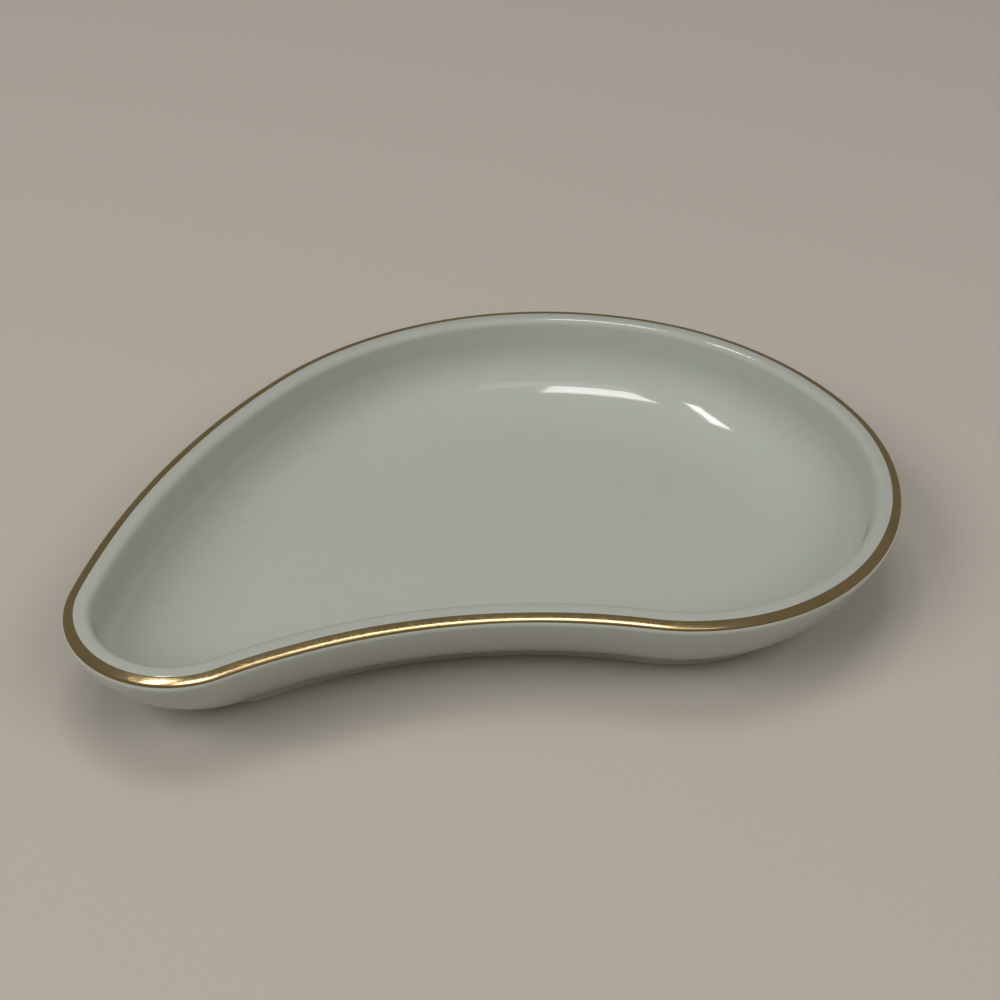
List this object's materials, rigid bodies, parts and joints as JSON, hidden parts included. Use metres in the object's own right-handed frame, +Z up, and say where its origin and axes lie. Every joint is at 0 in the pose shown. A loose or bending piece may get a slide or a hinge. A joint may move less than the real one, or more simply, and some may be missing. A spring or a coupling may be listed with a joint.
{
  "type": "ring dish",
  "caption": "Comma-shaped glazed porcelain ring dish with a soft-cornered well, a rounded lip with a gold line, and a low foot ring.",
  "frame": {"origin": "middle of the plan's bounding box, on the surface that the foot ring stands on", "axes": "+X along the long way from the narrow tip to the round lobe, +Y away from the hollow side, +Z up"},
  "size_m": [0.1654, 0.1102, 0.0216],
  "materials": {
    "clay_body": "fired clay body, hidden under the glaze",
    "bare_foot": "bare fired clay, ground flat",
    "glaze": "glossy pale ivory glaze with a faint green tint",
    "gold": "fired gold line, bright and glossy"
  },
  "bodies": {
    "root": {"dish_body": "clay_body", "foot_ring": "bare_foot", "glaze_coat": "glaze", "underside_glaze": "glaze", "gold_rim_line": "gold"}
  },
  "joints": []
}
